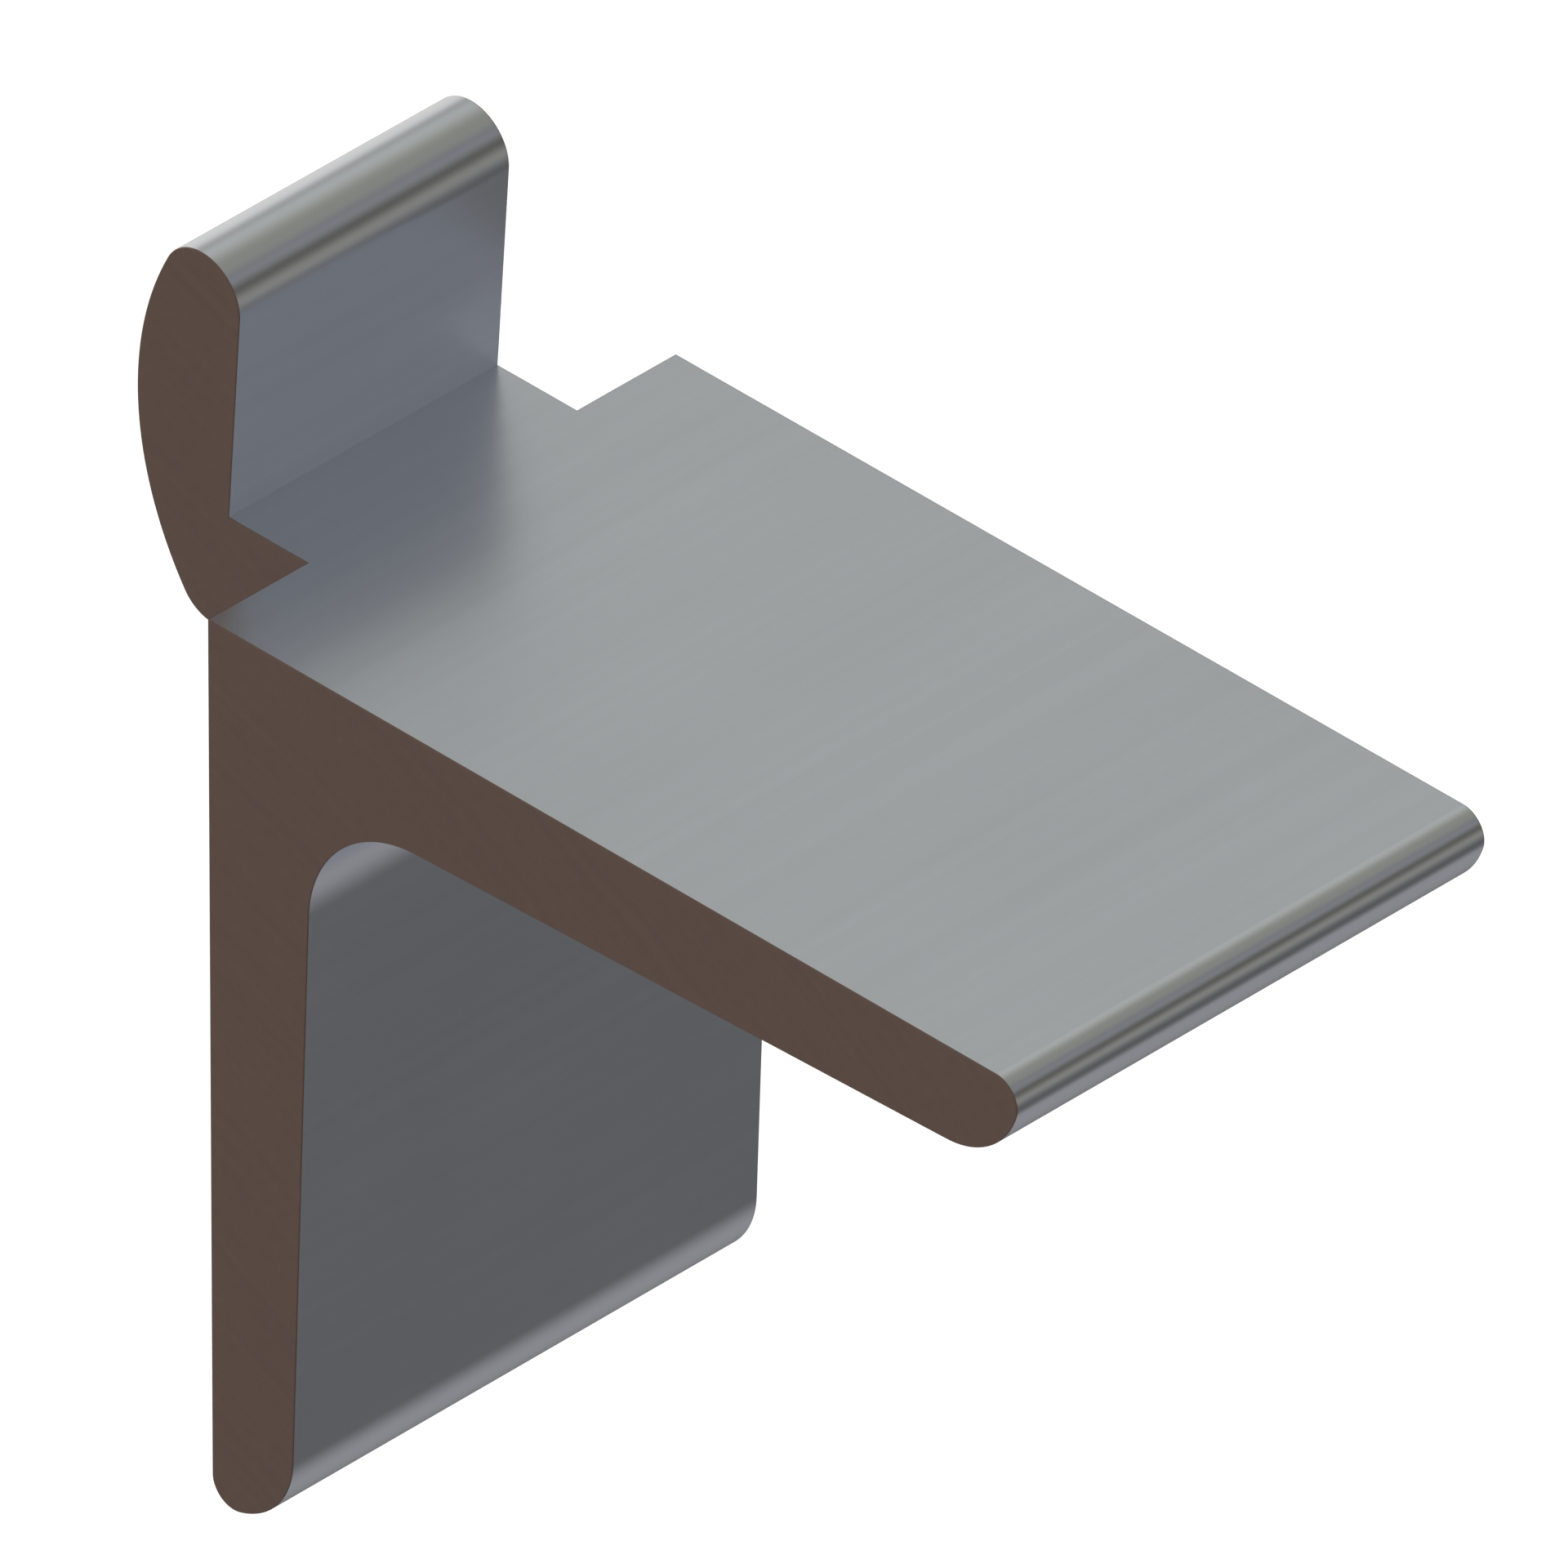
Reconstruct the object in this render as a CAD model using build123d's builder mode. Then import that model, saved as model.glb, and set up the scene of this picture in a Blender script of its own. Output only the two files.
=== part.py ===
from build123d import *
from build123d.topology import SkipClean
import math
import os

# A clip-in shelf bracket: one length sawn from an extruded section, with its hook milled
# narrower than the rest. The arm carries the shelf, the leg lies against the wall panel,
# and the hook goes through a slot in the panel and up behind it.
#
# Frame: the origin is on the line where the panel's front face (X = 0) meets the shelf's
# seat (Z = 0), at mid-width. +X points out of the wall along the arm, +Z is up.

# ---- driving dimensions, millimetres ----
width = 17.35            # along Y, from one sawn end to the other
arm_length = 30.0        # from the wall plane to the arm's tip
leg_length = 28.35       # from the seat plane down to the leg's tip
root_thickness = 4.0     # of both limbs, carried through to the outer corner
inner_slope = 0.0372     # each limb's inner face runs towards its outer face by this much per mm
corner_radius = 4.2      # in the inner corner, between arm and leg
nose_radius = 2.8        # on the inner side of each limb's tip
edge_radius = 0.8        # on the outer side of each limb's tip

hook_width = 10.0        # along Y, centred
neck_thickness = 3.7     # of the neck that lies in the panel's slot
hook_gap = 2.95          # from the wall plane to the blade, at the seat
hook_slope = 0.0686      # the blade's front leans forward by this much per mm of height
hook_height = 8.0        # of the blade above the seat
hook_reach = 6.35        # from the wall plane to the blade's rearmost line
hook_back_radius = 10.1  # of the blade's convex back
hook_tip_radius = 1.42   # of the rounded top edge
hook_heel_radius = 1.3   # where the back turns in under the neck


def degrees_of(x, z):
    return math.degrees(math.atan2(z, x))


def tip_centres(length):
    """Centres of the two arcs at the end of a limb that lies along +x with its outer face on
    z = 0. The small one touches the outer face and reaches x = length. The large one touches
    the sloping inner face and runs into the small one without a corner."""
    n = math.hypot(1, inner_slope)
    x1, z1 = length - edge_radius, -edge_radius
    c = z1 + root_thickness - n * nose_radius
    d = nose_radius - edge_radius
    b = x1 + inner_slope * c
    x2 = (b - math.sqrt(b * b - n * n * (x1 * x1 + c * c - d * d))) / (n * n)
    z2 = -root_thickness + inner_slope * x2 + n * nose_radius
    return (x1, z1), (x2, z2)


slope_angle = math.degrees(math.atan(inner_slope))

# The arm's tip, and the leg's, which is the same shape turned about the line x = -z.
(ax1, az1), (ax2, az2) = tip_centres(arm_length)
(px1, pz1), (px2, pz2) = tip_centres(leg_length)
lx1, lz1, lx2, lz2 = -pz1, -px1, -pz2, -px2
arm_join = degrees_of(ax1 - ax2, az1 - az2)
leg_join = degrees_of(lx1 - lx2, lz1 - lz2)

# Where the two inner faces would meet without their radius.
inner_corner = root_thickness / (1 + inner_slope)

# The hook's arcs. The tip touches the blade's front, the back holds the tip and the heel.
lean = math.hypot(1, hook_slope)
tip_z = hook_height - hook_tip_radius
tip_x = -hook_gap + hook_slope * tip_z - lean * hook_tip_radius
back_x = -hook_reach + hook_back_radius
back_z = tip_z - math.sqrt((hook_back_radius - hook_tip_radius) ** 2 - (back_x - tip_x) ** 2)
heel_z = -neck_thickness + hook_heel_radius
heel_x = back_x - math.sqrt((hook_back_radius - hook_heel_radius) ** 2 - (back_z - heel_z) ** 2)
tip_turn = degrees_of(tip_x - back_x, tip_z - back_z) % 360
heel_turn = degrees_of(heel_x - back_x, heel_z - back_z) % 360
front_turn = -math.degrees(math.atan(hook_slope))

os.makedirs("parts", exist_ok=True)

with BuildPart() as bracket:
    # Arm and leg: one L section over the whole width.
    with BuildSketch(Plane.XZ.offset(width / 2)) as limbs_section:
        with BuildLine():
            seat = Line((0, 0), (ax1, 0))
            arm_edge = CenterArc((ax1, az1), edge_radius, 90, arm_join - 90)
            arm_nose = CenterArc((ax2, az2), nose_radius, arm_join, slope_angle - 90 - arm_join)
            under = Line(arm_nose @ 1, (inner_corner, -inner_corner))
            leg_front_low = (lx2 + nose_radius * math.cos(math.radians(slope_angle)),
                             lz2 - nose_radius * math.sin(math.radians(slope_angle)))
            front = Line(under @ 1, leg_front_low)
            leg_nose = CenterArc((lx2, lz2), nose_radius, -slope_angle, leg_join + slope_angle)
            leg_edge = CenterArc((lx1, lz1), edge_radius, leg_join, -180 - leg_join)
            back = Line(leg_edge @ 1, (0, 0))
        make_face()
        fillet(
            [v for v in limbs_section.vertices()
             if math.hypot(v.X - inner_corner, v.Y + inner_corner) < 0.01],
            corner_radius,
        )
    extrude(amount=-width)

    # Hook: the neck in line with the arm, and the blade that stands up behind the panel.
    with BuildSketch(Plane.XZ.offset(hook_width / 2)) as hook_section:
        with BuildLine():
            Line((0, 0), (0, -neck_thickness))
            Line((0, -neck_thickness), (heel_x, -neck_thickness))
            CenterArc((heel_x, heel_z), hook_heel_radius, 270, heel_turn - 270)
            CenterArc((back_x, back_z), hook_back_radius, heel_turn, tip_turn - heel_turn)
            tip = CenterArc((tip_x, tip_z), hook_tip_radius, tip_turn, front_turn - tip_turn)
            Line(tip @ 1, (-hook_gap, 0))
            Line((-hook_gap, 0), (0, 0))
        make_face()
    # The neck's top keeps a face of its own, level with the seat but ending at the wall
    # plane, because the panel stands on it and no shelf does.
    with SkipClean():
        extrude(amount=-hook_width, clean=False)

bracket.part.label = "bracket"
export_step(bracket.part, "parts/bracket.step")
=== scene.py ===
import math

import bmesh
import bpy
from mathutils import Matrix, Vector
from mathutils.geometry import delaunay_2d_cdt


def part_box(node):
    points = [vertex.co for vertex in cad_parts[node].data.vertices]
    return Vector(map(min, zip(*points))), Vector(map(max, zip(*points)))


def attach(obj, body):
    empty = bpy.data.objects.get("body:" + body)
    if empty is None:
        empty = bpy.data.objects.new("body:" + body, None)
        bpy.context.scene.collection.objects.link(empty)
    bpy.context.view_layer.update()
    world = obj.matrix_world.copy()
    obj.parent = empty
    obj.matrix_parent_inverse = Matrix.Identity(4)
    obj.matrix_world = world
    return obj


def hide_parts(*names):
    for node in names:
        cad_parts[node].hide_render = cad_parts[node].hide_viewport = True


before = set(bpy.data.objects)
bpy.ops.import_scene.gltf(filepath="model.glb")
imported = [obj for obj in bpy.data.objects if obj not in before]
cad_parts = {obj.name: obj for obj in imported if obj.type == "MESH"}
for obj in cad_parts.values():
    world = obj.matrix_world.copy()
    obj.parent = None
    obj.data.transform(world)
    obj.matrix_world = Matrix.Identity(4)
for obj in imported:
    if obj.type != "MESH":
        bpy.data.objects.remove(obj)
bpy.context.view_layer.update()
scene = bpy.context.scene
MM = 0.001

# ---------------------------------------------------------------------------------------
# The section, in millimetres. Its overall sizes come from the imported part, and the rest
# repeats the part's driving dimensions.
# ---------------------------------------------------------------------------------------
lo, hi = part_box("bracket")
width = (hi.y - lo.y) / MM
arm_length = hi.x / MM
leg_length = -lo.z / MM
hook_height = hi.z / MM
hook_reach = -lo.x / MM

root_thickness = 4.0
inner_slope = 0.0372
corner_radius = 4.2
nose_radius = 2.8
edge_radius = 0.8
hook_width = 10.0
neck_thickness = 3.7
hook_gap = 2.95
hook_slope = 0.0686
hook_back_radius = 10.1
hook_tip_radius = 1.42
hook_heel_radius = 1.3

deburr = 0.035  # radius of the deburred edges round the ends


def degrees_of(x, z):
    return math.degrees(math.atan2(z, x))


def tip_centres(length):
    n = math.hypot(1, inner_slope)
    x1, z1 = length - edge_radius, -edge_radius
    c = z1 + root_thickness - n * nose_radius
    d = nose_radius - edge_radius
    b = x1 + inner_slope * c
    x2 = (b - math.sqrt(b * b - n * n * (x1 * x1 + c * c - d * d))) / (n * n)
    z2 = -root_thickness + inner_slope * x2 + n * nose_radius
    return (x1, z1), (x2, z2)


slope_angle = math.degrees(math.atan(inner_slope))
(ax1, az1), (ax2, az2) = tip_centres(arm_length)
(px1, pz1), (px2, pz2) = tip_centres(leg_length)
lx1, lz1, lx2, lz2 = -pz1, -px1, -pz2, -px2
arm_join = degrees_of(ax1 - ax2, az1 - az2)
leg_join = degrees_of(lx1 - lx2, lz1 - lz2)

lean = math.hypot(1, hook_slope)
tip_z = hook_height - hook_tip_radius
tip_x = -hook_gap + hook_slope * tip_z - lean * hook_tip_radius
back_x = -hook_reach + hook_back_radius
back_z = tip_z - math.sqrt((hook_back_radius - hook_tip_radius) ** 2 - (back_x - tip_x) ** 2)
heel_z = -neck_thickness + hook_heel_radius
heel_x = back_x - math.sqrt((hook_back_radius - hook_heel_radius) ** 2 - (back_z - heel_z) ** 2)
tip_turn = degrees_of(tip_x - back_x, tip_z - back_z) % 360
heel_turn = degrees_of(heel_x - back_x, heel_z - back_z) % 360
front_turn = -math.degrees(math.atan(hook_slope))


class Line:
    """A straight run of the outline. The metal is on its right, so its normal is on its left."""

    def __init__(self, a, b):
        self.a, self.b = a, b
        self.length = math.dist(a, b)
        dx, dz = (b[0] - a[0]) / self.length, (b[1] - a[1]) / self.length
        self.normal = (-dz, dx)
        self.along = (dx, dz)

    def points(self):
        n = max(1, round(self.length / 0.95))
        return [
            (self.a[0] + (self.b[0] - self.a[0]) * i / n, self.a[1] + (self.b[1] - self.a[1]) * i / n)
            for i in range(n)
        ]

    def normal_at(self, x, z):
        """The outline's normal at a point of this run, or None if the point isn't on it."""
        rx, rz = x - self.a[0], z - self.a[1]
        t = rx * self.along[0] + rz * self.along[1]
        if -1e-3 <= t <= self.length + 1e-3 and abs(rx * self.normal[0] + rz * self.normal[1]) < 2e-3:
            return self.normal
        return None


class Arc:
    """An arc of the outline, from angle a0 by sweep. outward is False where it is hollow."""

    def __init__(self, centre, radius, a0, sweep, step, outward=True):
        self.c, self.r, self.a0, self.sweep, self.step = centre, radius, a0, sweep, step
        self.sign = 1 if outward else -1

    def at(self, a):
        a = math.radians(a)
        return (self.c[0] + self.r * math.cos(a), self.c[1] + self.r * math.sin(a))

    def points(self):
        n = max(2, math.ceil(abs(self.sweep) / self.step))
        return [self.at(self.a0 + self.sweep * i / n) for i in range(n)]

    def normal_at(self, x, z):
        dx, dz = x - self.c[0], z - self.c[1]
        d = math.hypot(dx, dz)
        if abs(d - self.r) > 2e-3:
            return None
        turned = (degrees_of(dx, dz) - self.a0) * (1 if self.sweep > 0 else -1)
        slack = math.degrees(1e-3 / self.r)
        if (turned + slack) % 360 > abs(self.sweep) + 2 * slack:
            return None
        return (self.sign * dx / d, self.sign * dz / d)


# The arm and leg, clockwise as seen along +Y: seat, arm's tip, underside, inner corner, the
# leg's front, its tip, its back. Then the hook, the same way round.
n_slope = math.hypot(1, inner_slope)
fillet = (corner_radius * n_slope + root_thickness) / (1 + inner_slope)
arm_nose = Arc((ax2, az2), nose_radius, arm_join, slope_angle - 90 - arm_join, 2.5)
inner = Arc((fillet, -fillet), corner_radius, 90 + slope_angle, 90 - 2 * slope_angle, 3.0, outward=False)
leg_nose = Arc((lx2, lz2), nose_radius, -slope_angle, leg_join + slope_angle, 2.5)
limbs = [
    Line((0, 0), (ax1, 0)),
    Arc((ax1, az1), edge_radius, 90, arm_join - 90, 5.0),
    arm_nose,
    Line(arm_nose.at(slope_angle - 90), inner.at(90 + slope_angle)),
    inner,
    Line(inner.at(180 - slope_angle), leg_nose.at(-slope_angle)),
    leg_nose,
    Arc((lx1, lz1), edge_radius, leg_join, -180 - leg_join, 5.0),
    Line((0, lz1), (0, -neck_thickness)),
    Line((0, -neck_thickness), (0, 0)),
]
blade_back = Arc((back_x, back_z), hook_back_radius, heel_turn, tip_turn - heel_turn, 1.8)
blade_tip = Arc((tip_x, tip_z), hook_tip_radius, tip_turn, front_turn - tip_turn, 4.0)
hook = [
    Line((0, -neck_thickness), (heel_x, -neck_thickness)),
    Arc((heel_x, heel_z), hook_heel_radius, 270, heel_turn - 270, 4.0),
    blade_back,
    blade_tip,
    Line(blade_tip.at(front_turn), (-hook_gap, 0)),
    Line((-hook_gap, 0), (0, 0)),
]


def spaced(a, b, step):
    n = max(1, round(abs(b - a) / step))
    return [a + (b - a) * i / n for i in range(n)]


# ---------------------------------------------------------------------------------------
# The mesh: rings of the section along Y, with the hook's rings joined to them.
# ---------------------------------------------------------------------------------------
half, hook_half = width / 2, hook_width / 2
rows = spaced(-half, -hook_half, 0.95) + spaced(-hook_half, hook_half, 0.95) + spaced(hook_half, half, 0.95) + [half]
first_hook = min(range(len(rows)), key=lambda i: abs(rows[i] + hook_half))
last_hook = min(range(len(rows)), key=lambda i: abs(rows[i] - hook_half))

limb_points = [p for part in limbs for p in part.points()]
n_patch = len(limbs[-1].points())  # the last of them lie in the hook's root
n_limb = len(limb_points)

bm = bmesh.new()
rings = [[bm.verts.new((x * MM, y * MM, z * MM)) for x, z in limb_points] for y in rows]
for j in range(len(rows) - 1):
    for i in range(n_limb):
        in_root = i >= n_limb - n_patch and first_hook <= j < last_hook
        if in_root:
            continue
        k = (i + 1) % n_limb
        bm.faces.new((rings[j][i], rings[j + 1][i], rings[j + 1][k], rings[j][k]))

# Points of the limbs that would lie inside the hook's root are dropped from its inner rings.
root_run = [n_limb - n_patch + i for i in range(1, n_patch)]
hook_points = [p for part in hook for p in part.points()][1:]
hook_rings = []
for j in range(first_hook, last_hook + 1):
    ring = [rings[j][n_limb - n_patch]]
    ring += [bm.verts.new((x * MM, rows[j] * MM, z * MM)) for x, z in hook_points]
    ring.append(rings[j][0])
    hook_rings.append(ring)
for a, b in zip(hook_rings, hook_rings[1:]):
    for i in range(len(a) - 1):
        bm.faces.new((a[i], b[i], b[i + 1], a[i + 1]))
for j in range(first_hook + 1, last_hook):
    for i in root_run:
        bm.verts.remove(rings[j][i])

caps = [
    bm.faces.new(rings[0]),
    bm.faces.new(list(reversed(rings[-1]))),
    bm.faces.new(hook_rings[0] + [rings[first_hook][i] for i in reversed(root_run)]),
    bm.faces.new(list(reversed(hook_rings[-1] + [rings[last_hook][i] for i in reversed(root_run)]))),
]
WALL, CAP, EDGE = 0, 1, 2
for f in caps:
    f.material_index = CAP
bm.normal_update()
bmesh.ops.recalc_face_normals(bm, faces=bm.faces)

# Deburred edges: round the four sawn or milled ends, and along the back of the seat on both
# sides of the hook, where milling leaves a square corner.
sharp = set()
for f in caps:
    for e in f.edges:
        x0, x1 = (v.co.x for v in e.verts)
        y0 = e.verts[0].co.y
        z0, z1 = (v.co.z for v in e.verts)
        root = abs(abs(y0) - hook_half * MM) < 1e-8 and abs(x0) < 1e-9 and abs(x1) < 1e-9 and max(z0, z1) <= 1e-9
        if not root:
            sharp.add(e)
for j in list(range(0, first_hook)) + list(range(last_hook, len(rows) - 1)):
    sharp.add(bm.edges.get((rings[j][0], rings[j + 1][0])))
bm.edges.index_update()
bmesh.ops.bevel(
    bm,
    geom=sorted(sharp, key=lambda e: e.index),
    offset=deburr * MM,
    offset_type="OFFSET",
    segments=3,
    profile=0.5,
    affect="EDGES",
    clamp_overlap=True,
    material=EDGE,
)
bm.normal_update()


def fill_cap(face, spacing=0.95):
    """Replaces a large flat end with even triangles."""
    verts = list(face.verts)
    flat = [Vector((v.co.x / MM, v.co.z / MM)) for v in verts]
    y, normal = verts[0].co.y, face.normal.copy()
    n = len(flat)

    def inside(p):
        hit = False
        for i in range(n):
            a, b = flat[i], flat[(i + 1) % n]
            if (a.y > p.y) != (b.y > p.y) and p.x < (b.x - a.x) * (p.y - a.y) / (b.y - a.y) + a.x:
                hit = not hit
        return hit

    def clear(p):
        for i in range(n):
            a, b = flat[i], flat[(i + 1) % n]
            ab = b - a
            t = max(0.0, min(1.0, (p - a).dot(ab) / max(ab.dot(ab), 1e-12)))
            if (a + ab * t - p).length < 0.45 * spacing:
                return False
        return True

    x0, x1 = min(p.x for p in flat), max(p.x for p in flat)
    z0, z1 = min(p.y for p in flat), max(p.y for p in flat)
    seeds, row, z = [], 0, z0
    while z < z1:
        x = x0 + (0.5 * spacing if row % 2 else 0.0)
        while x < x1:
            p = Vector((x, z))
            if inside(p) and clear(p):
                seeds.append(p)
            x += spacing
        z += spacing * 0.866
        row += 1
    points, _, faces, origin, _, _ = delaunay_2d_cdt(
        flat + seeds, [(i, (i + 1) % n) for i in range(n)], [list(range(n))], 1, 1e-7
    )
    made = []
    for p, source in zip(points, origin):
        old = [i for i in source if i < n]
        made.append(verts[old[0]] if old else bm.verts.new((p.x * MM, y, p.y * MM)))
    material = face.material_index
    bmesh.ops.delete(bm, geom=[face], context="FACES_ONLY")
    for f in faces:
        new = bm.faces.new([made[i] for i in f])
        new.material_index = material
        new.normal_update()
        if new.normal.dot(normal) < 0:
            new.normal_flip()


for f in [f for f in bm.faces if f.material_index == CAP]:
    fill_cap(f)
bm.normal_update()
bm.verts.ensure_lookup_table()
bm.verts.index_update()
order = {f: i for i, f in enumerate(sorted(bm.faces, key=lambda f: sorted(v.index for v in f.verts)))}
bm.faces.sort(key=lambda f: order[f])
bm.faces.ensure_lookup_table()

# Exact normals: the outline's own on the long faces, square on the ends, and turning from
# one to the other over the deburred edges.
outline = limbs + hook
on_cap = {}
for v in bm.verts:
    for f in v.link_faces:
        if f.material_index == CAP:
            on_cap[v.index] = Vector((0, 1 if f.normal.y > 0 else -1, 0))


def wall_normals(v):
    x, z = v.co.x / MM, v.co.z / MM
    found = []
    for part in outline:
        n = part.normal_at(x, z)
        if n:
            found.append(Vector((n[0], 0, n[1])))
    return found


walls = {v.index: wall_normals(v) for v in bm.verts if any(f.material_index == WALL for f in v.link_faces)}
loop_normals = []
for f in bm.faces:
    f.smooth = True
    for loop in f.loops:
        v = loop.vert
        if f.material_index == CAP:
            n = on_cap[v.index]
        elif f.material_index == WALL:
            choices = walls[v.index] or [f.normal]
            n = max(choices, key=lambda c: c.dot(f.normal))
        elif v.index in on_cap:
            n = on_cap[v.index]
        elif walls.get(v.index):
            n = max(walls[v.index], key=lambda c: c.dot(f.normal))
        else:
            n = sum((g.normal * g.calc_area() for g in v.link_faces if g.normal.dot(f.normal) > 0.3), Vector())
        loop_normals.append(Vector(n).normalized())
# ---------------------------------------------------------------------------------------
# A map of the surface, in millimetres, for a model whose materials are baked: the long faces
# unrolled, the ends flat, and the deburred edges opened out round the ends, because at their
# own width they would be narrower than a texel.
# ---------------------------------------------------------------------------------------
GAP, RIM = 0.7, 0.24
MAP = 2 * width + arm_length + 4 * GAP + 2 * RIM


def chain(parts):
    """Each part of a run, with how far along the run it starts."""
    found, s = [], 0.0
    for part in parts:
        found.append((part, s))
        s += part.length if isinstance(part, Line) else part.r * math.radians(abs(part.sweep))
    return found


rows_of_map = [  # a run of the outline, where its start lies on the map, and half its width
    (chain(limbs[:4]), GAP, GAP, half),
    (chain(limbs[4:]), GAP, 2 * GAP + width, half),
    (chain(hook), arm_length + root_thickness + 3 * GAP + 2 * RIM, 3 * GAP + 2 * width, hook_half),
]
low = 3 * GAP + 2 * width + RIM  # the ends lie above the two rows
end_places = {  # by side and width: where the corner of the section lies, and how it is turned
    (-1, half): (GAP + RIM, low + arm_length, (1, 0), (0, 1)),
    (1, half): (2 * GAP + 3 * RIM + arm_length + root_thickness, low, (0, 1), (1, 0)),
    (-1, hook_half): (arm_length + root_thickness + hook_reach + 4 * GAP + 4 * RIM, low + hook_width + 5.5, (1, 0), (0, 1)),
    (1, hook_half): (arm_length + root_thickness + hook_reach + 5 * GAP + 5 * RIM, low + hook_width + 5.5, (-1, 0), (0, 1)),
}


def along_run(part, x, z):
    if isinstance(part, Line):
        return (x - part.a[0]) * part.along[0] + (z - part.a[1]) * part.along[1]
    turned = (degrees_of(x - part.c[0], z - part.c[1]) - part.a0) * (1 if part.sweep > 0 else -1)
    return part.r * math.radians((turned + 90) % 360 - 90)


def on_wall(f):
    """The places on the map of a long face's corners."""
    c = f.calc_center_median() / MM
    for run, u, v, start in rows_of_map:
        for part, s in run:
            n = part.normal_at(c.x, c.z)
            if n and n[0] * f.normal.x + n[1] * f.normal.z > 0.9:
                return [
                    (u + s + along_run(part, p.x / MM, p.z / MM), v + p.y / MM + start)
                    for p in (loop.vert.co for loop in f.loops)
                ]
    return None


def on_end(f):
    """The places of the corners of an end, or of the deburred edge round it."""
    side = 1 if f.calc_center_median().y > 0 else -1
    for level in (half, hook_half):
        depths = [level - side * loop.vert.co.y / MM for loop in f.loops]
        if min(depths) > -1e-3 and max(depths) < deburr + 1e-3:
            break
    else:
        return None
    u, v, (ux, uz), (vx, vz) = end_places[(side, level)]
    places = []
    for loop, depth in zip(f.loops, depths):
        out = Vector((loop.vert.normal.x, loop.vert.normal.z))
        wide = RIM * math.acos(max(0.0, 1 - max(0.0, depth) / deburr)) / (math.pi / 2)
        if f.material_index == CAP or out.length < 1e-6:
            wide = 0.0
        else:
            out.normalize()
        x, z = loop.vert.co.x / MM + out.x * wide, loop.vert.co.z / MM + out.y * wide
        places.append((u + ux * x + uz * z, v + vx * x + vz * z))
    return places


def on_seat_edge(f):
    """The places of the corners of the deburred edge behind the seat."""
    u = arm_length + 2 * root_thickness + 2 * hook_reach + 10 * GAP
    u, v = u + (GAP + RIM if f.calc_center_median().y > 0 else 0), low + hook_width + GAP
    places = []
    for loop in f.loops:
        x, z = loop.vert.co.x / MM - deburr, loop.vert.co.z / MM + deburr
        turn = degrees_of(x, z) % 360
        places.append((u + RIM * (180 - turn) / 90, v + abs(loop.vert.co.y) / MM - hook_half))
    return places


uv = bm.loops.layers.uv.new("OFBake")
for f in bm.faces:
    places = on_wall(f) if f.material_index == WALL else on_end(f) or on_seat_edge(f)
    for loop, (u, v) in zip(f.loops, places):
        loop[uv].uv = (u / MAP, v / MAP)

# The deburred edges take the ends' material, with its brown painted reflection.
for f in bm.faces:
    if f.material_index == EDGE:
        f.material_index = CAP

mesh = bpy.data.meshes.new("bracket_body")
bm.to_mesh(mesh)
bm.free()
mesh.normals_split_custom_set([tuple(n) for n in loop_normals])
body = bpy.data.objects.new("bracket_body", mesh)
scene.collection.objects.link(body)


# ---------------------------------------------------------------------------------------
# Materials
# ---------------------------------------------------------------------------------------
class Nodes:
    """A short way to write a node tree."""

    def __init__(self, tree):
        self.tree = tree

    def add(self, kind, inputs=None, **settings):
        node = self.tree.nodes.new(kind)
        for k, v in settings.items():
            setattr(node, k, v)
        for k, v in (inputs or {}).items():
            if isinstance(v, bpy.types.NodeSocket):
                self.tree.links.new(v, node.inputs[k])
            else:
                node.inputs[k].default_value = v
        return node

    def math(self, operation, a, b=None, c=None, clamp=False):
        inputs = {0: a}
        if b is not None:
            inputs[1] = b
        if c is not None:
            inputs[2] = c
        return self.add("ShaderNodeMath", inputs, operation=operation, use_clamp=clamp).outputs[0]

    def span(self, value, a, b, to_a, to_b, smooth=False):
        return self.add(
            "ShaderNodeMapRange",
            {0: value, 1: a, 2: b, 3: to_a, 4: to_b},
            interpolation_type="SMOOTHSTEP" if smooth else "LINEAR",
            clamp=True,
        ).outputs[0]

    def scaled(self, vector, scale):
        return self.add("ShaderNodeVectorMath", {0: vector, 1: scale}, operation="MULTIPLY").outputs[0]

    def noise(self, vector, scale, detail=2.0, roughness=0.5, seed=0.0):
        return self.add(
            "ShaderNodeTexNoise",
            {"Vector": vector, "W": seed, "Scale": scale, "Detail": detail, "Roughness": roughness},
            noise_dimensions="4D",
        ).outputs["Fac"]


METAL = (0.785, 0.835, 0.92)
# The ends' brown is a painted reflection of warm surroundings, put into their base colour.
ENDS_PAINTED_REFLECTION_BROWN = (0.2425, 0.1613, 0.1365)


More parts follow.
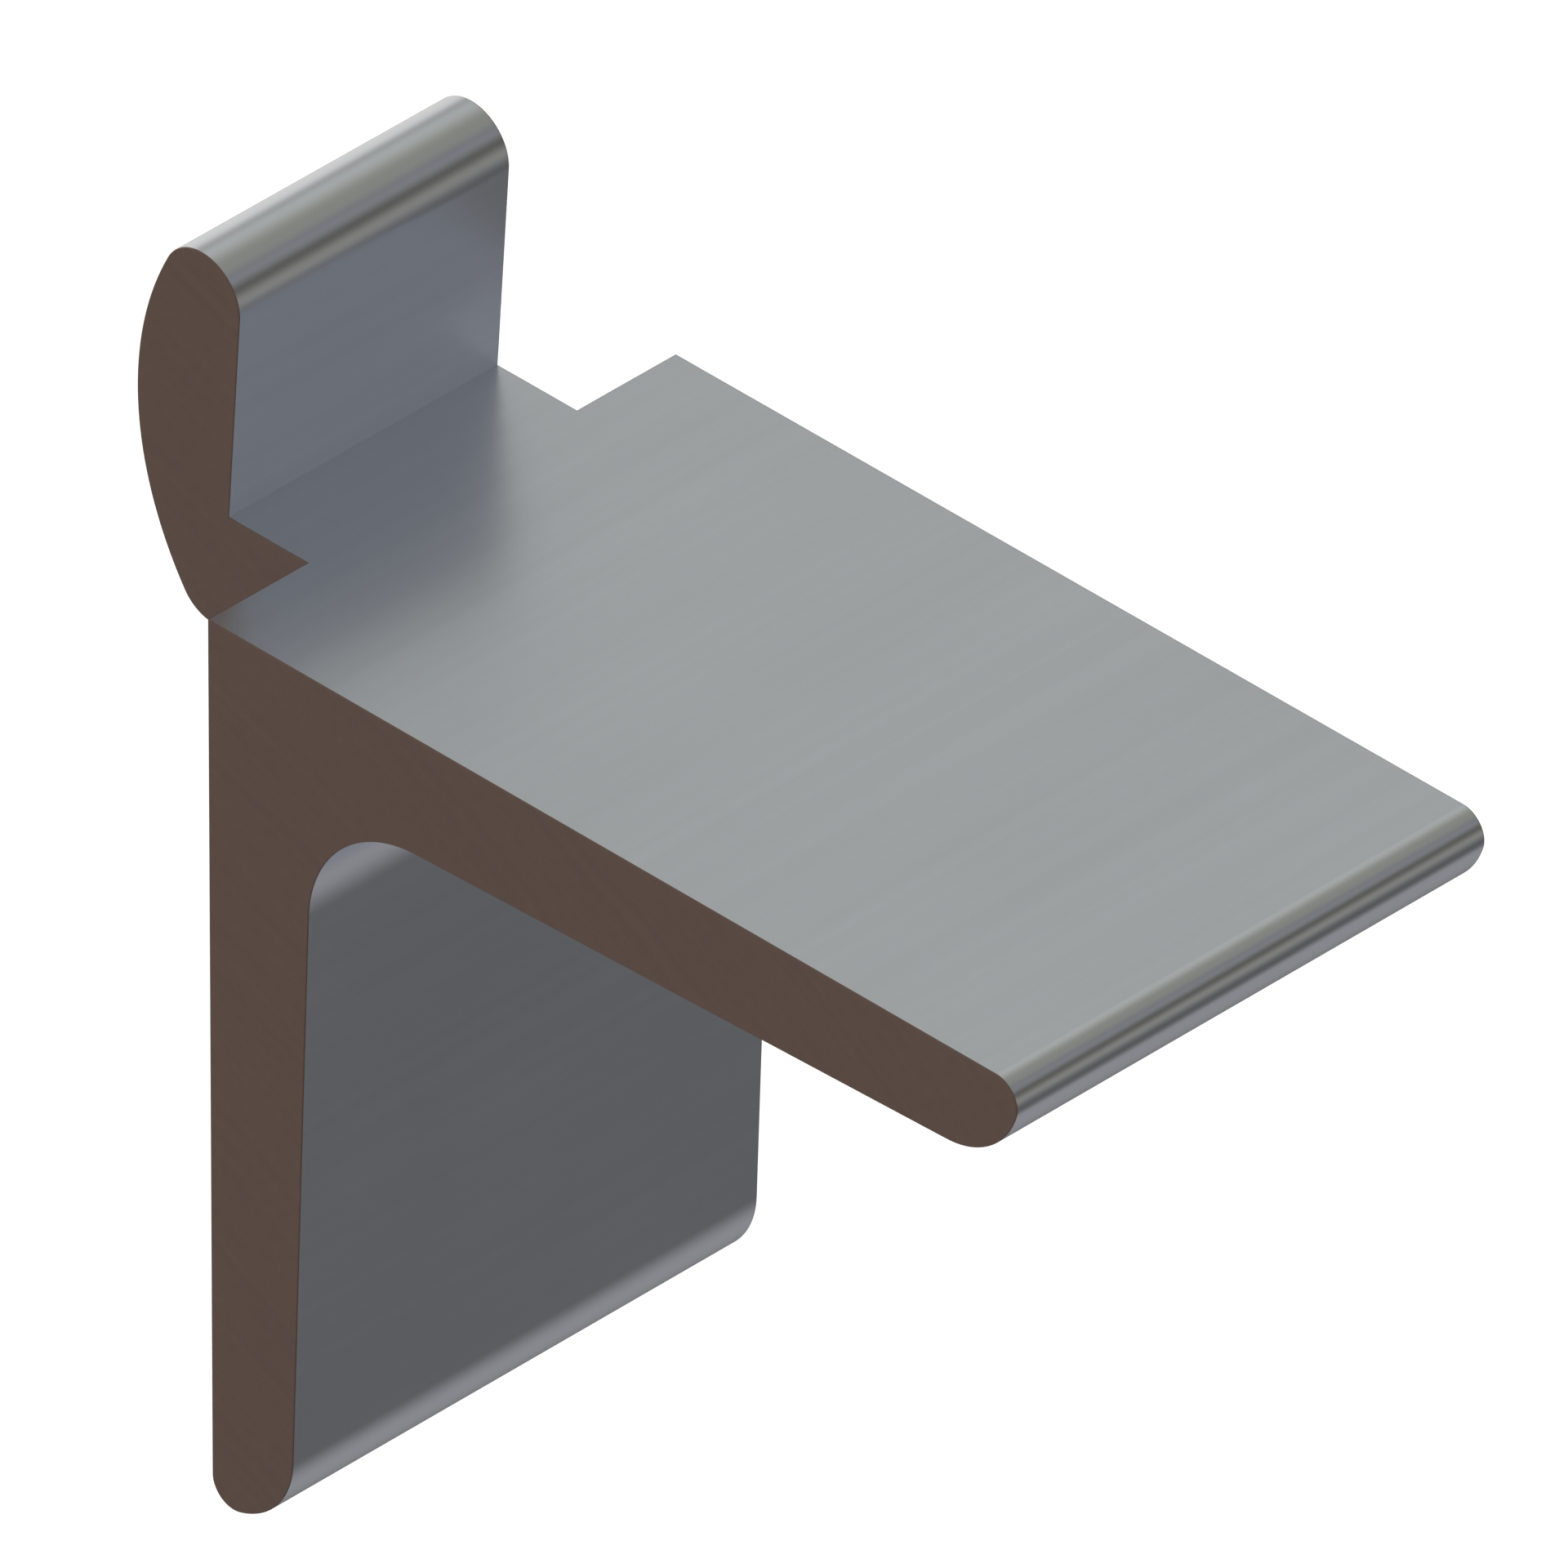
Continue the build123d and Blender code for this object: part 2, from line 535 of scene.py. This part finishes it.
def extruded_metal():
    """Satin extruded aluminium: die lines run along Y, the way the section was pushed out."""
    m = bpy.data.materials.new("aluminium_extruded")
    m.use_nodes = True
    m.node_tree.nodes.clear()
    t = Nodes(m.node_tree)
    out = t.add("ShaderNodeOutputMaterial")
    shader = t.add("ShaderNodeBsdfPrincipled", {"Metallic": 1.0, "IOR": 1.5})
    t.tree.links.new(shader.outputs[0], out.inputs[0])
    mm = t.scaled(t.add("ShaderNodeTexCoord").outputs["Object"], (1000.0, 1000.0, 1000.0))
    drawn = t.scaled(mm, (1.0, 0.012, 1.0))  # stretched along Y

    fine = t.noise(drawn, 3.4, 1.5, 0.5, 1.3)
    broad = t.noise(drawn, 1.1, 2.0, 0.5, 4.1)
    cloud = t.noise(mm, 0.16, 3.0, 0.55, 7.7)

    tone = t.math("ADD", t.span(broad, 0.3, 0.7, -0.013, 0.013), t.span(cloud, 0.3, 0.7, -0.010, 0.010))
    tone = t.math("ADD", tone, t.span(fine, 0.3, 0.7, -0.011, 0.011))
    tone = t.math("ADD", tone, 1.0)
    colour = t.add(
        "ShaderNodeVectorMath", {0: METAL, "Scale": tone}, operation="SCALE"
    ).outputs[0]
    t.tree.links.new(colour, shader.inputs["Base Color"])

    rough = t.math("ADD", t.span(fine, 0.3, 0.7, -0.004, 0.004), t.span(cloud, 0.3, 0.7, -0.006, 0.006))
    rough = t.math("ADD", rough, 0.287)
    t.tree.links.new(rough, shader.inputs["Roughness"])

    height = t.math("ADD", t.math("MULTIPLY", fine, 0.35), t.math("MULTIPLY", broad, 0.65))
    bump = t.add("ShaderNodeBump", {"Strength": 0.3, "Distance": 0.000003, "Height": height})
    t.tree.links.new(bump.outputs[0], shader.inputs["Normal"])
    return m


def sawn_metal_painted_reflection():
    """The ends: a duller cut face with faint saw marks, in a brown base colour that is a painted reflection of warm
    surroundings.
    """
    m = bpy.data.materials.new("aluminium_sawn_painted_reflection")
    m.use_nodes = True
    m.node_tree.nodes.clear()
    t = Nodes(m.node_tree)
    out = t.add("ShaderNodeOutputMaterial")
    shader = t.add("ShaderNodeBsdfPrincipled", {"Metallic": 0.4, "IOR": 1.5})
    t.tree.links.new(shader.outputs[0], out.inputs[0])
    mm = t.scaled(t.add("ShaderNodeTexCoord").outputs["Object"], (1000.0, 1000.0, 1000.0))

    # The saw's teeth leave arcs about a centre well off the part.
    parts = t.add("ShaderNodeSeparateXYZ", {0: mm})
    dx = t.math("ADD", parts.outputs["X"], 38.0)
    dz = t.math("ADD", parts.outputs["Z"], 96.0)
    radius = t.math("SQRT", t.math("ADD", t.math("MULTIPLY", dx, dx), t.math("MULTIPLY", dz, dz)))
    wander = t.noise(mm, 0.12, 2.0, 0.5, 3.0)
    sweep = t.add(
        "ShaderNodeCombineXYZ", {"X": t.math("ADD", radius, t.math("MULTIPLY", wander, 2.0)), "Y": 0.0, "Z": 0.0}
    ).outputs[0]
    marks = t.noise(sweep, 2.6, 2.0, 0.6, 5.0)
    grain = t.noise(mm, 3.2, 1.5, 0.5, 9.0)
    cloud = t.noise(mm, 0.22, 2.0, 0.5, 2.0)

    tone = t.math("ADD", t.span(marks, 0.3, 0.7, -0.05, 0.05), t.span(grain, 0.3, 0.7, -0.03, 0.03))
    tone = t.math("ADD", tone, t.span(cloud, 0.3, 0.7, -0.02, 0.02))
    tone = t.math("ADD", tone, 1.0)
    # Painted reflection: the ends' brown, varied by the saw marks, grain and cloud.
    colour = t.add(
        "ShaderNodeVectorMath", {0: ENDS_PAINTED_REFLECTION_BROWN, "Scale": tone}, operation="SCALE"
    ).outputs[0]
    t.tree.links.new(colour, shader.inputs["Base Color"])

    rough = t.math("ADD", t.span(grain, 0.3, 0.7, -0.03, 0.03), 0.44)
    t.tree.links.new(rough, shader.inputs["Roughness"])
    height = t.math("ADD", t.math("MULTIPLY", marks, 0.8), t.math("MULTIPLY", grain, 0.2))
    bump = t.add("ShaderNodeBump", {"Strength": 0.4, "Distance": 0.000014, "Height": height})
    t.tree.links.new(bump.outputs[0], shader.inputs["Normal"])
    return m


mesh.materials.append(extruded_metal())
mesh.materials.append(sawn_metal_painted_reflection())

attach(body, "root")
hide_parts("bracket")

# ---------------------------------------------------------------------------------------
# Studio: soft strips of light that run along the bracket's width, so that its rounds carry
# long highlights, over a plain pale floor.
# ---------------------------------------------------------------------------------------
# Going round the width's axis from +X through +Z: angle in degrees, brightness, and tint.
PLAIN, COOL, BLUE = (0.985, 1.0, 1.015), (0.96, 0.99, 1.09), (0.92, 0.965, 1.15)
GREEN, SKY, WARM = (0.99, 1.02, 0.94), (0.945, 1.01, 1.03), (1.0, 0.995, 0.945)
STRIPS = [
    (-180, 0.61, PLAIN),  # a tall softbox on the wall's side
    (-155, 0.63, PLAIN),
    (-140, 0.21, COOL),
    (-126, 0.14, COOL),
    (-112, 0.19, COOL),
    (-98, 0.25, COOL),  # fill from below
    (-76, 0.27, COOL),
    (-66, 0.23, COOL),
    (-54, 0.10, COOL),
    (-42, 0.07, COOL),  # a dark gap
    (-28, 0.10, PLAIN),
    (-14, 0.22, PLAIN),
    (-4, 0.26, WARM),  # a narrow strip at the height of the part
    (4, 0.175, WARM),
    (14, 0.06, WARM),
    (23, 0.05, WARM),  # a dark gap
    (32, 0.18, WARM),
    (41, 0.242, BLUE),
    (52, 0.144, BLUE),
    (64, 0.232, GREEN),  # the front of the room
    (88, 0.21, GREEN),
    (104, 0.32, GREEN),
    (116, 0.40, SKY),
    (128, 0.417, SKY),  # an overhead softbox
    (140, 0.278, SKY),
    (145, 0.225, PLAIN),
    (150, 0.33, PLAIN),
    (160, 0.60, PLAIN),
    (172, 0.62, PLAIN),
    (180, 0.61, PLAIN),
]
# The same on the far side of the part, plainer.
FAR_STRIPS = [
    (-180, 0.56, PLAIN),
    (-158, 0.50, PLAIN),
    (-138, 0.26, COOL),
    (-118, 0.21, COOL),
    (-96, 0.24, COOL),
    (-74, 0.26, COOL),
    (-56, 0.16, COOL),
    (-36, 0.13, COOL),
    (-16, 0.24, PLAIN),
    (2, 0.30, PLAIN),
    (20, 0.36, PLAIN),
    (44, 0.38, PLAIN),
    (66, 0.30, PLAIN),
    (90, 0.27, PLAIN),
    (112, 0.36, SKY),
    (130, 0.38, SKY),
    (146, 0.27, PLAIN),
    (156, 0.34, PLAIN),
    (168, 0.54, PLAIN),
    (180, 0.56, PLAIN),
]
POLE, FAR_POLE = (0.45, 0.45, 0.45), (0.30, 0.30, 0.30)  # along the width

world = bpy.data.worlds.new("studio")
scene.world = world
world.use_nodes = True
world.node_tree.nodes.clear()
w = Nodes(world.node_tree)
direction = w.add("ShaderNodeTexCoord").outputs["Generated"]
xyz = w.add("ShaderNodeSeparateXYZ", {0: direction})
turn = w.math("ARCTAN2", xyz.outputs["Z"], xyz.outputs["X"])
place = w.math("MULTIPLY_ADD", turn, 1 / (2 * math.pi), 0.5)


def ring(strips):
    ramp = w.add("ShaderNodeValToRGB", {0: place})
    elements = ramp.color_ramp.elements
    ramp.color_ramp.interpolation = "LINEAR"
    while len(elements) > 1:
        elements.remove(elements[-1])
    elements[0].position = 0.0
    for i, (angle, brightness, tint) in enumerate(strips):
        e = elements[0] if i == 0 else elements.new((angle + 180) / 360)
        e.color = (*(brightness * v / b for v, b in zip(tint, METAL)), 1.0)
    return ramp.outputs["Color"]


def blend(factor, a, b):
    return w.add("ShaderNodeMix", {0: factor, 6: a, 7: b}, data_type="RGBA").outputs[2]


near = w.span(xyz.outputs["Y"], -0.30, 0.15, 0.0, 1.0, smooth=True)
side = w.span(w.math("ABSOLUTE", xyz.outputs["Y"]), 0.82, 0.98, 0.0, 1.0, smooth=True)
round_it = blend(near, ring(FAR_STRIPS), ring(STRIPS))
poles = blend(near, (*(v / b for v, b in zip(FAR_POLE, METAL)), 1.0), (*(v / b for v, b in zip(POLE, METAL)), 1.0))
mixed = blend(side, round_it, poles)
light = w.add("ShaderNodeBackground", {"Strength": 1.0, "Color": mixed})
paper = w.add("ShaderNodeBackground", {"Color": (1, 1, 1, 1), "Strength": 1.06})
choose = w.add("ShaderNodeMixShader")
w.tree.links.new(w.add("ShaderNodeLightPath").outputs["Is Camera Ray"], choose.inputs[0])
w.tree.links.new(light.outputs[0], choose.inputs[1])
w.tree.links.new(paper.outputs[0], choose.inputs[2])
w.tree.links.new(choose.outputs[0], w.add("ShaderNodeOutputWorld").inputs[0])

# Floor, far below, as under a bracket high on a wall. It is lit from straight above by one
# large softbox that hangs lower than the part, so that only the floor sees it.
floor_z = lo.z - 2.8
bm = bmesh.new()
bmesh.ops.create_grid(bm, x_segments=2, y_segments=2, size=7.0)
floor_mesh = bpy.data.meshes.new("floor")
bm.to_mesh(floor_mesh)
bm.free()
floor = bpy.data.objects.new("floor", floor_mesh)
floor.location = (0, 0, floor_z)
scene.collection.objects.link(floor)
fm = bpy.data.materials.new("pale_floor")
fm.use_nodes = True
fm.node_tree.nodes.clear()
t = Nodes(fm.node_tree)
fs = t.add("ShaderNodeBsdfPrincipled", {"Base Color": (0.9, 0.9, 0.9, 1), "Roughness": 0.9, "Specular IOR Level": 0.0})
t.tree.links.new(fs.outputs[0], t.add("ShaderNodeOutputMaterial").inputs[0])
floor_mesh.materials.append(fm)
floor.visible_glossy = False
floor.visible_diffuse = False

softbox = bpy.data.lights.new("softbox", "AREA")
softbox.shape = "SQUARE"
softbox.size = 12.0
softbox.energy = 480
lamp = bpy.data.objects.new("softbox", softbox)
lamp.location = (0, 0, floor_z + 2.4)
scene.collection.objects.link(lamp)
lamp.visible_glossy = False
lamp.visible_camera = False

# ---------------------------------------------------------------------------------------
# Camera: a long lens from far off, because the view is all but parallel.
# ---------------------------------------------------------------------------------------
azimuth, elevation = math.radians(45.056), math.radians(35.034)
target = Vector((13.0, -0.265, -2.989)) * MM
distance = 1942.8 * MM
back = Vector(
    (
        math.sin(azimuth) * math.cos(elevation),
        -math.cos(azimuth) * math.cos(elevation),
        math.sin(elevation),
    )
)
cam = bpy.data.cameras.new("camera")
cam.type = "PERSP"
cam.sensor_width = 36
cam.lens = 1700
cam.clip_start, cam.clip_end = 0.1, 20
camera = bpy.data.objects.new("camera", cam)
camera.location = target + back * distance
camera.rotation_mode = "QUATERNION"
camera.rotation_quaternion = (-back).to_track_quat("-Z", "Y")
scene.collection.objects.link(camera)
scene.camera = camera

scene.view_settings.view_transform = "Standard"
scene.view_settings.look = "None"
scene.view_settings.exposure = 0.0
scene.view_settings.gamma = 1.0
